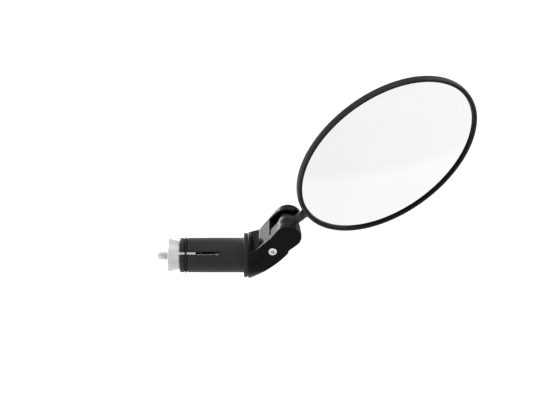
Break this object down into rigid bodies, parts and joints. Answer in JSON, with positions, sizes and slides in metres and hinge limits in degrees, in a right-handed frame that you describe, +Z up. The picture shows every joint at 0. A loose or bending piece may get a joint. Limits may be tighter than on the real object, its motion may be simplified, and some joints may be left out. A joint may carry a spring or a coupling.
{
  "type": "bar-end bicycle mirror",
  "caption": "Round convex mirror on a short ball-jointed stub, held by a hinged clamp arm on an expander plug that fits the open end of a bicycle handlebar.",
  "frame": {"origin": "centre of the handlebar's end face, where the plug's collar rests", "axes": "+X outboard along the handlebar, +Y forward, +Z up"},
  "size_m": [0.1596, 0.0572, 0.1088],
  "materials": {
    "sleeve_nylon": "matt",
    "oring_rubber": "matt",
    "washer_nylon": "satin",
    "wedge_alloy": "satin",
    "zinc_steel": "satin",
    "arm_black": "gloss",
    "seat_nylon": "matt",
    "ball_black": "satin",
    "stub_black": "satin",
    "shell_black": "satin",
    "bezel_black": "satin",
    "mirror": "polished",
    "foam": "matt"
  },
  "bodies": {
    "plug": {"plug_sleeve": "sleeve_nylon", "retaining_oring": "oring_rubber", "friction_washer": "washer_nylon"},
    "wedge": {"expander_wedge": "wedge_alloy", "wedge_nut": "zinc_steel"},
    "bolt": {"expander_bolt": "zinc_steel", "bolt_washer": "zinc_steel"},
    "arm": {"base_arm": "arm_black", "clamp_nut": "zinc_steel"},
    "jaw": {"clamp_jaw": "arm_black"},
    "screw": {"clamp_screw": "zinc_steel"},
    "seats": {"seat_front": "seat_nylon", "seat_rear": "seat_nylon"},
    "ball": {"pivot_ball": "ball_black"},
    "mirror": {"stub_core": "stub_black", "housing_shell": "shell_black", "mirror_glass": "mirror", "adhesive_ring": "foam", "bezel_ring": "bezel_black"}
  },
  "joints": [
    {"name": "bolt_turn", "type": "hinge", "parent": "plug", "child": "bolt", "pos_m": [0, 0, 0], "axis": [1, 0, 0], "range_deg": [0, 1800]},
    {"name": "wedge_slide", "type": "slide", "parent": "plug", "child": "wedge", "axis": [1, 0, 0], "range_m": [-0.004, 0]},
    {"name": "arm_turn", "type": "hinge", "parent": "plug", "child": "arm", "pos_m": [0, 0, 0], "axis": [1, 0, 0], "continuous": true},
    {"name": "jaw_slide", "type": "slide", "parent": "arm", "child": "jaw", "axis": [0, -1, 0], "range_m": [0, 0.001]},
    {"name": "screw_turn", "type": "hinge", "parent": "jaw", "child": "screw", "pos_m": [0.0143, 0, 0.00965], "axis": [0, -1, 0], "range_deg": [0, 514.5]},
    {"name": "mirror_swing", "type": "hinge", "parent": "arm", "child": "seats", "pos_m": [0.02191, 0.0008, 0.01841], "axis": [0, 1, 0], "range_deg": [-10, 50]},
    {"name": "mirror_tilt", "type": "hinge", "parent": "seats", "child": "ball", "pos_m": [0.02191, 0.0008, 0.01841], "axis": [0.5095, 0, -0.8605], "range_deg": [-2, 20]},
    {"name": "mirror_spin", "type": "hinge", "parent": "ball", "child": "mirror", "pos_m": [0.02191, 0.0008, 0.01841], "axis": [0.8136, 0.3254, 0.4818], "continuous": true}
  ],
  "couplings": [
    {"joint": "bolt_turn", "follows": "wedge_slide", "rad_per_m": -7853.9},
    {"joint": "screw_turn", "follows": "jaw_slide", "rad_per_m": 8975.9}
  ]
}
